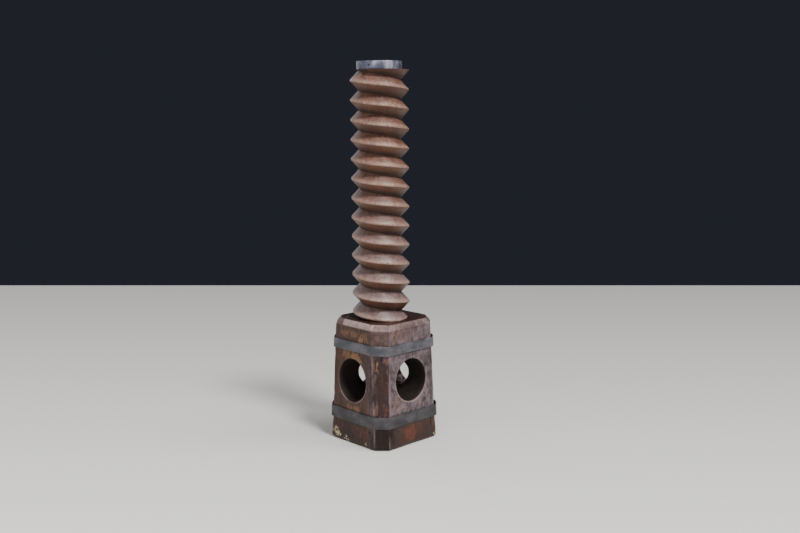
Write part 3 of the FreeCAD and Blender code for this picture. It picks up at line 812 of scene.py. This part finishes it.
def build_head():
    """The square head with its crossing bar holes, hewn, cracked and worn."""
    head = head_block()
    cut_and_remesh(head)
    points, normals = vertex_vectors(head, "co"), vertex_vectors(head, "normal")
    x, y, z = points.T
    half = half_width(z)
    outer = np.maximum(np.abs(x), np.abs(y)) > half - SKIN_DEPTH
    corner = (np.abs(x) + np.abs(y)) > 2 * half - CORNER_LEG - SKIN_DEPTH
    skin = (outer | corner | (z > HEAD_HEIGHT - TOP_BEVEL)).astype(float)
    from_bar = np.minimum(np.hypot(x, z - BAR_HEIGHT), np.hypot(y, z - BAR_HEIGHT))
    # painted shade goes on the bar holes' walls and into their mouths
    in_bore = (1 - skin) * (from_bar < BAR_RADIUS + 20 * MM)
    in_bore = np.maximum(in_bore, 1 - ramp(mouth_distance(points), -1.5 * MM, 0))
    # painted light: a pale patch on the +Y hole's wall, where light falls in at its mouth, instead
    # of painted shade
    lit_patch = blob(points, *BORE_LIGHT_PATCH, 44, 0.6) * in_bore
    in_bore *= 1 - lit_patch

    streak = lattice_noise(points, (7 * MM, 7 * MM, 90 * MM), 42)
    facet = lattice_noise(points, (38 * MM, 38 * MM, 26 * MM), 43)
    inward = 0.25 * MM * (1 + lattice_noise(points, 70 * MM, 41))
    inward += (0.2 * MM * (1 + streak) + 0.6 * MM * np.abs(facet)) * skin
    inward += 0.35 * MM * lattice_noise(points, 9 * MM, 45) * in_bore
    crack = crack_field(points, normals)
    inward += 1.8 * MM * crack * skin + chip_field(points)
    side_corner = ramp(np.minimum(np.abs(x), np.abs(y)), half - 60 * MM, half - 34 * MM)
    front = ramp(x - y, 0, 0.1)
    foot = 1 - ramp(z, 0, 20 * MM)
    lifted = 3.4 * MM * foot * side_corner * (1 - 0.5 * front)
    points = points - normals * inward[:, None]
    points[:, 2] += lifted * ramp(-normals[:, 2], 0.2, 0.8)
    points[:, 2] = np.clip(points[:, 2], 0, HEAD_HEIGHT)

    paint_head(head, points, normals, skin, in_bore, crack, lit_patch)
    points[:, :2] += HEAD_OFFSET
    set_points(head, points)
    finish_piece(head, head_wood(), "timber", "screw_timber")


# a painted pool of light on the wall of the hole in +Y, where light falls in at its mouth: middle
# and half extent, in millimetres
BORE_LIGHT_PATCH = ((0, 98, 152), (50, 46, 36))
BEVEL_HIGHLIGHT = (-0.052, 0.069)     # the top bevel on -Y is painted pale between these, as a highlight on rubbed wood
# stained and bared places: mark, middle and half extent in millimetres, strength and raggedness
PATCHES = [
    ("ochre", (27, -112, 312), (10, 20, 17), 0.9, 0.5),
    ("ochre", (0, -112, 320), (60, 20, 12), 0.5, 0.9),
    ("ochre", (8, -115, 250), (24, 20, 12), 0.8, 0.6),
    ("ochre", (-18, -115, 258), (26, 20, 15), 0.55, 0.9),
    ("ochre", (-2, -119, 106), (34, 20, 8), 0.7, 0.8),
    ("ochre", (85, -114, 240), (4, 20, 36), 0.9, 0.6),
    ("ochre", (112, -54, 326), (20, 12, 16), 0.35, 0.8),
    ("ochre", (121, -55, 122), (20, 20, 22), 0.35, 0.9),
    ("ochre", (-118, 50, 290), (20, 30, 20), 0.6, 0.8),
    ("ochre", (-50, 118, 110), (40, 20, 12), 0.6, 0.8),
    ("red", (35, -120, 40), (50, 20, 18), 0.8, 0.9),
    ("red", (-60, -119, 60), (30, 20, 35), 0.5, 0.9),
    ("red", (-45, -116, 245), (30, 20, 22), 0.6, 0.9),
    ("red", (120, -12, 36), (20, 30, 26), 0.95, 0.5),
    ("red", (103, -100, 190), (20, 20, 60), 0.6, 0.9),
    ("red", (103, -100, 110), (20, 20, 22), 0.8, 0.9),
    ("red", (-119, -30, 120), (20, 50, 40), 0.6, 0.9),
    ("red", (40, 116, 220), (50, 20, 60), 0.5, 0.9),
    ("bare", (-78, -122, 27), (18, 9, 10), 0.9, 1.2),
    ("bare", (-58, -122, 15), (18, 9, 6), 0.9, 1.2),
    ("bare", (-30, -122, 7), (16, 9, 3), 0.8, 1.2),
    ("bare", (54, -122, 14), (4, 20, 12), 0.95, 0.7),
    ("bare", (126, 88, 12), (10, 8, 3), 0.6, 0.9),
    ("dark", (101, -103, 28), (40, 40, 52), 1.0, 0.3),
    ("dark", (98, -103, 180), (26, 26, 100), 0.75, 0.6),
    ("dark", (-90, -116, 200), (20, 20, 60), 0.4, 0.8),
    ("dark", (118, 83, 190), (20, 24, 75), 0.55, 0.8),
    ("dark", (-30, -120, 45), (60, 20, 50), 0.45, 0.9),
    ("dark", (0, 0, 357), (130, 130, 6), 0.75, 0.2),
]


def paint_head(head, points, normals, skin, in_bore, crack, lit_patch):
    """Mark where the head is rubbed pale, stained, chipped bare and cracked, where it gets painted
    highlights and a painted sheen, and where its foot and bores get painted shade and one bore a
    painted pool of light.
    """
    x, y, z = points.T
    marks = {name: np.zeros(len(points)) for name in ("ochre", "red", "bare", "dark")}
    for number, (name, middle, size, strength, ragged) in enumerate(PATCHES):
        patch = strength * blob(points, middle, size, 52 + number, ragged)
        marks[name] = np.maximum(marks[name], patch)
    marks["dark"] = np.maximum(marks["dark"], 0.6 * ramp(normals[:, 2], 0.8, 0.97))
    ragged = lattice_noise(points, (12 * MM, 12 * MM, 40 * MM), 51)
    on_front = ramp(-normals[:, 1], 0.3, 0.6)
    # painted highlight: the top bevels, partly rubbed, are made pale as facets that catch the light
    bevel = ramp(z, HEAD_HEIGHT - 19 * MM, HEAD_HEIGHT - 15 * MM) * (normals[:, 2] < 0.9)
    highlight_from, highlight_to = BEVEL_HIGHLIGHT
    corner_facet = x - y > 2 * half_width(z) - CORNER_LEG - 28 * MM
    facet = 0.25 + 0.3 * corner_facet
    bevel *= np.maximum(facet, on_front * (x < highlight_to) * (x > highlight_from))
    bevel *= ramp(ragged, -1.6, -0.5)
    arris = np.exp(-(arris_distance(x, y, z) / (2.6 * MM)) ** 2) * ramp(ragged, -0.5, 0.6)
    beyond = mouth_distance(points)
    # painted highlight: a pale line round each hole's rim, mostly on its lower half
    rim = np.exp(-((beyond - 1.2 * MM) / (2 * MM)) ** 2) * ramp(ragged, -0.9, 0.1)
    rim *= 0.1 + 0.9 * ramp(BAR_HEIGHT - z, -10 * MM, 40 * MM)
    rub = np.clip(bevel + 0.45 * arris + 0.55 * rim, 0, 1) * skin
    # painted reflection: the sheen covers the +X side above the foot, and partly the -Y side right
    # of its hole
    film = ramp(normals[:, 0], 0.5, 0.9) * ramp(z, 50 * MM, 110 * MM)
    film = np.maximum(film, 0.55 * ramp(-normals[:, 1], 0.5, 0.9) * ramp(x, 0.04, 0.09))
    for name, values in marks.items():
        paint(head, name, values * skin)
    # painted shade towards the foot
    paint(head, "soil", 1 - ramp(z, 10 * MM, 120 * MM))
    # rubbed arrises with the painted highlights and the painted pool of light
    paint(head, "rub", np.maximum(rub, 0.7 * lit_patch))
    paint(head, "film", film * skin)
    # where the bores get painted shade and more roughness
    paint(head, "bore", in_bore)
    paint(head, "crack", crack * 0.8)


# ---------------------------------------------------------------- straps: hoops and ferrule
def rounded_octagon(half, leg, bend, lean):
    """Points and outward normals round a square with cut, rounded corners."""
    corners = octagon(half, leg, lean)
    order = [Vector(corner) for corner in corners[5:] + corners[:5]]
    count = len(order)
    sides = [(order[(i + 1) % count] - order[i]).normalized() for i in range(count)]
    cuts = [bend * math.tan(sides[i - 1].angle(sides[i]) / 2) for i in range(count)]
    points, normals = [], []
    for index, here in enumerate(order):
        before, after = sides[index - 1], sides[index]
        inward = [Vector((-before.y, before.x)), Vector((-after.y, after.x))]
        centre = here - before * cuts[index] + inward[0] * bend
        for step in range(7):
            share = step / 6
            normal = -(inward[0] * (1 - share) + inward[1] * share).normalized()
            points.append(centre + normal * bend)
            normals.append(normal)
        follower = (index + 1) % count
        end = here + after * cuts[index]
        following = order[follower] - after * cuts[follower]
        pieces = 40 if (following - end).length > 2 * CORNER_LEG else 8
        for step in range(1, pieces):
            points.append(end.lerp(following, step / pieces))
            normals.append(-inward[1])
    return np.array([tuple(p) for p in points]), np.array([tuple(n) for n in normals])


def strap_section(width, thickness, edge):
    """The strap's section as (share of its width, distance out), with eased edges."""
    ease = edge / width
    across = np.linspace(ease, 1 - ease, 9)
    outer = [(share, thickness) for share in across]
    inner = [(share, 0.0) for share in across[::-1]]
    near = [(1 - ease * 0.3, thickness - edge * 0.3), (1, thickness - edge), (1, edge),
            (1 - ease * 0.3, edge * 0.3)]
    far = [(ease * 0.3, edge * 0.3), (0, edge), (0, thickness - edge),
           (ease * 0.3, thickness - edge * 0.3)]
    return np.array(outer + near + inner + far)


def strap(name, foot_line, top_line, normals, low, high, thickness, lift, seed, wobble):
    """A bent strip: its lower and upper edges follow two lines, and its ends are closed."""
    section = strap_section(high - low, thickness, min(1.2 * MM, thickness * 0.4))
    stations, ring = len(foot_line), len(section)
    share, out = section[:, 0], section[:, 1]
    along = np.cumsum(np.r_[0, np.linalg.norm(np.diff(foot_line, axis=0), axis=1)])
    stand = lift + wobble * (1 + line_noise(along, 0.06, seed)) / 2
    edge_wave = wobble * 0.8 * line_noise(along, 0.025, seed + 1)
    plan = (foot_line[:, None] * (1 - share[None, :, None])
            + top_line[:, None] * share[None, :, None]
            + normals[:, None] * (out[None, :] + stand[:, None])[..., None])
    span = (high - low) - 2 * np.abs(edge_wave)
    height = low + np.abs(edge_wave)[:, None] + share[None, :] * span[:, None]
    points = np.concatenate([plan, height[..., None]], axis=2).reshape(-1, 3)
    dents = lattice_noise(points, 11 * MM, seed + 2)
    shift = 0.25 * MM * np.minimum(dents, 0)
    spread = np.repeat(normals, ring, axis=0)
    points[:, :2] += spread * shift[:, None] * (np.tile(out, stations) > thickness / 2)[:, None]
    piece = mesh_object(name, points, tube_faces(stations, ring))
    tidy_mesh(piece)
    return piece


def lapped(line, inner_end, outer_end, joggle):
    """Indices round a closed line that starts on its -X side and ends lapped over the start."""
    points, normals = line
    count = len(points)
    on_side = [i for i in range(count) if normals[i][0] < -0.999]
    start = min(on_side, key=lambda i: abs(points[i][1] - inner_end))
    stop = min(on_side, key=lambda i: abs(points[i][1] - outer_end))
    order = [(start + step) % count for step in range(count)]
    extra = [(start + step) % count for step in range((stop - start) % count + 1)]
    lift = np.zeros(len(order) + len(extra))
    heights = np.array([points[i][1] for i in order])
    sides = np.array([normals[i][0] for i in order])
    rising = ramp(-(heights - inner_end - joggle), -joggle, 0) * (sides < -0.999)
    rising[: count // 2] = 0
    lift[: len(order)] = rising
    lift[len(order):] = 1
    return order + extra, lift


# painted shade: the lower hoop, nearer the floor, gets darker tones of the same iron than the upper
# hoop
HOOP_TONES = {
    "lower_hoop": (tone(50, 48, 51), tone(84, 80, 85)),
    "upper_hoop": (tone(68, 70, 77), tone(112, 109, 117)),
}


def build_hoop(node, low, high, seed):
    """A riveted strap-iron hoop round the head."""
    leg = CORNER_LEG + 2 * STRAP_CLEARANCE - math.sqrt(2) * CORNER_GAP
    foot, top = (rounded_octagon(half_width(level) + STRAP_CLEARANCE, leg, STRAP_BEND,
                                 front_lean(level)) for level in (low, high))
    order, lift = lapped(foot, LAP_LENGTH / 2 - LAP_STEP, -LAP_LENGTH / 2, JOGGLE)
    thickness = STRAP_THICKNESS - STRAP_WEAR
    foot_line = foot[0][order] + HEAD_OFFSET
    top_line = top[0][order] + HEAD_OFFSET
    bulge = corner_bulge(foot[0][order], half_width(low))
    foot_line, top_line = foot_line + bulge, top_line + bulge
    piece = strap(f"{node}_strap", foot_line, top_line, foot[1][order], low, high, thickness,
                  lift * (thickness + 0.2 * MM), seed, 0.4 * MM)
    finish_piece(piece, forged_iron(f"{node}_iron", *HOOP_TONES[node]), "hoop_iron", node)
    outside = -(half_width((low + high) / 2) + STRAP_CLEARANCE + 2 * thickness) + HEAD_OFFSET
    for side in (-1, 1):
        rivet = domed_head(f"{node}_rivet_{'a' if side < 0 else 'b'}", *RIVET_HEAD, seed + side)
        rivet.data.transform(
            Matrix.Translation((outside, HEAD_OFFSET + side * RIVET_SPACING / 2, (low + high) / 2))
            @ Matrix.Rotation(-math.pi / 2, 4, "Y"))
        finish_piece(rivet, forged_iron(f"{node}_rivet_iron", tone(46, 46, 48), tone(88, 90, 94)),
                     "rivet_iron", f"{node}_rivets")


def corner_bulge(line, half):
    """How far the strap stands off the head at its four corners, outward along the diagonal."""
    beside = np.abs(line).sum(axis=1) - (2 * half - CORNER_LEG)
    on_chamfer = ramp(np.minimum(np.abs(line[:, 0]), np.abs(line[:, 1])), half - CORNER_LEG,
                      half - CORNER_LEG / 2 - 2 * MM) * (beside > -CORNER_LEG)
    signs = np.sign(line)
    amount = np.where((signs[:, 0] > 0) & (signs[:, 1] > 0), FAR_CORNER_STAND, CORNER_STAND)
    return signs * (amount * on_chamfer / math.sqrt(2))[:, None]


def domed_head(name, radius, height, seed):
    """A hammered dome on +Z with a short shank behind it."""
    count, rings_up = 32, 9
    draw = random.Random(seed)
    flats = [(draw.uniform(0, 2 * math.pi), draw.uniform(0.55, 0.95)) for _ in range(5)]
    points = []
    levels = [(-2.0 * MM, 0.5), (0.0, 0.5), (0.0, 0.98)]
    for step in range(rings_up):
        angle = math.pi / 2 * step / rings_up
        levels.append((height * (0.12 + 0.88 * math.sin(angle)), math.cos(angle)))
    for level, share in levels:
        for step in range(count):
            turn = 2 * math.pi * step / count
            reach = radius * share
            for middle, keep in flats:
                off = abs((turn - middle + math.pi) % (2 * math.pi) - math.pi)
                reach = min(reach, radius * keep + radius * 0.6 * off)
            points.append((reach * math.cos(turn), reach * math.sin(turn), level))
    faces = grid_faces(len(levels), count)
    faces.append(tuple(range(count)))
    points.append((0, 0, height))
    top_ring = (len(levels) - 1) * count
    for step in range(count):
        faces.append((top_ring + step, top_ring + (step + 1) % count, len(points) - 1))
    piece = mesh_object(name, points, faces)
    tidy_mesh(piece)
    return piece


def build_ferrule():
    """The zinc band, its ends lapped at the back, with four nails."""
    low, high = FERRULE_LOW.z, FERRULE_HIGH.z
    seam, sheet = FERRULE_SEAM, FERRULE_SHEET
    angle = np.linspace(seam, seam + 2 * math.pi + FERRULE_LAP, 220)
    normals = np.stack([np.cos(angle), np.sin(angle)], axis=1)
    inside = FERRULE_RADIUS - 2 * sheet - 0.6 * MM
    line = normals * inside
    lift = sheet * 1.05 * ramp(angle, seam + 2 * math.pi - 0.05, seam + 2 * math.pi)
    band = strap("ferrule_band", line, line, normals, low, high, sheet, lift, 61, 0.5 * MM)
    finish_piece(band, zinc_sheet(), "ferrule_sheet", "end_ferrule")
    nail_iron = forged_iron("nail_iron", tone(44, 42, 42), tone(84, 80, 78))
    for number in range(NAILS):
        turn = NAIL_TURN + number * 2 * math.pi / NAILS
        nail = domed_head(f"ferrule_nail_{number + 1}", *NAIL_HEAD, 70 + number)
        nail.data.transform(Matrix.Rotation(turn, 4, "Z")
                            @ Matrix.Translation((inside + 1.5 * sheet, 0, (low + high) / 2))
                            @ Matrix.Rotation(math.pi / 2, 4, "Y"))
        finish_piece(nail, nail_iron, "nail_iron", "ferrule_nails")


# ---------------------------------------------------------------- stage, camera and lights
VIEW_AZIMUTH = math.radians(46)
VIEW_PITCH = 0.1623
VIEW_ROLL = -0.0061
VIEW_DISTANCE = 2.7848
VIEW_HEIGHT = 0.9573
VIEW_SIDEWAYS = 0.0547
LENS, SENSOR = 44.16, 36
FLOOR_NEAR, FLOOR_WIDTH = -14.0, 20.0
WARM = (1.0, 0.98, 0.96)
FLOOR_END = 0.0237          # the floor ends this far below the middle of the frame, in frame widths


def build_camera():
    right = Vector((math.cos(VIEW_AZIMUTH), math.sin(VIEW_AZIMUTH), 0))
    ahead = Vector((-math.sin(VIEW_AZIMUTH), math.cos(VIEW_AZIMUTH), 0))
    upright = Vector((0, 0, 1))
    forward = ahead * math.cos(VIEW_PITCH) - upright * math.sin(VIEW_PITCH)
    above = ahead * math.sin(VIEW_PITCH) + upright * math.cos(VIEW_PITCH)
    side = right * math.cos(VIEW_ROLL) + above * math.sin(VIEW_ROLL)
    top = above * math.cos(VIEW_ROLL) - right * math.sin(VIEW_ROLL)
    data = bpy.data.cameras.new("camera")
    data.lens = LENS
    data.sensor_width = SENSOR
    data.clip_end = 60
    camera = bpy.data.objects.new("camera", data)
    bpy.context.scene.collection.objects.link(camera)
    place = right * VIEW_SIDEWAYS - ahead * VIEW_DISTANCE + upright * VIEW_HEIGHT
    turn = Matrix((side, top, -forward)).transposed().to_4x4()
    camera.matrix_world = Matrix.Translation(place) @ turn
    bpy.context.scene.camera = camera
    return camera, right, ahead


def sun(name, direction, softness, strength, colour):
    """A soft light from a direction; softness is its apparent size in degrees."""
    data = bpy.data.lights.new(name, "SUN")
    data.angle = math.radians(softness)
    data.energy = strength
    data.color = colour
    light = bpy.data.objects.new(name, data)
    bpy.context.scene.collection.objects.link(light)
    light.rotation_euler = direction.to_track_quat("Z", "Y").to_euler()


def floor_point(camera, across, down):
    """Where the floor is seen in the camera's frame, both shares from -0.5 to 0.5 of its width."""
    sight = Vector((across * SENSOR, -down * SENSOR, -LENS))
    ray = camera.matrix_world.to_3x3() @ sight
    place = camera.matrix_world.translation
    return place - ray * (place.z / ray.z)


def build_floor(camera, right, ahead):
    """A plain pale floor with a painted falloff of light, brightest in front of the object and
    darker further back; it ends level behind it.
    """
    left_end, right_end = (floor_point(camera, side, FLOOR_END) for side in (-0.5, 0.5))
    middle, span = (left_end + right_end) / 2, right_end - left_end
    near, far = FLOOR_NEAR, middle.dot(ahead)
    places = [near, *np.linspace(-1.4, far, 60)]
    points = []
    for place in places:
        share = (place - near) / (far - near)
        for side in (-1, 1):
            front = right * side * FLOOR_WIDTH + ahead * near
            points.append(tuple(front.lerp(middle + span * side * 6, share)))
    faces = [(2 * row, 2 * row + 1, 2 * row + 3, 2 * row + 2) for row in range(len(places) - 1)]
    floor = mesh_object("floor", points, faces, smooth=False)
    # painted light: the floor's colour falls off with distance from the front
    paint(floor, "pale", np.minimum(np.exp(-(np.repeat(places, 2) + 0.14) / 2.2) / 1.3, 1))
    shader = Shader("floor_paper")
    base = shader.mix(shader.attribute("pale"), tone(108, 108, 107), tone(234, 234, 231))
    floor.data.materials.append(shader.finish(base, 0.8))


def build_stage(camera, right, ahead):
    build_floor(camera, right, ahead)
    world = bpy.data.worlds.new("studio")
    world.use_nodes = True
    backdrop = world.node_tree.nodes["Background"]
    backdrop.inputs["Color"].default_value = tone(36, 38, 46)
    backdrop.inputs["Strength"].default_value = 1.0
    bpy.context.scene.world = world
    up = Vector((0, 0, 1))
    sun("key", right * 0.36 - ahead * 0.45 + up * 0.82, 13, 3.4, WARM)
    sun("gloss", right * 0.42 - ahead * 0.05 + up * 0.9, 22, 1.1, WARM)
    sun("fill", -right * 0.45 - ahead * 0.7 + up * 0.6, 80, 1.1, WARM)
    sun("back", -right * 0.6 + ahead * 0.7 + up * 0.4, 60, 0.7, (0.97, 0.98, 1.0))
    sun("overhead", up, 50, 0.4, (1.0, 1.0, 1.0))


build_spindle()
build_head()
for node, seed in (("lower_hoop", 81), ("upper_hoop", 91)):
    box_low, box_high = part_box(node)
    build_hoop(node, box_low.z, box_high.z, seed)
build_ferrule()
build_stage(*build_camera())
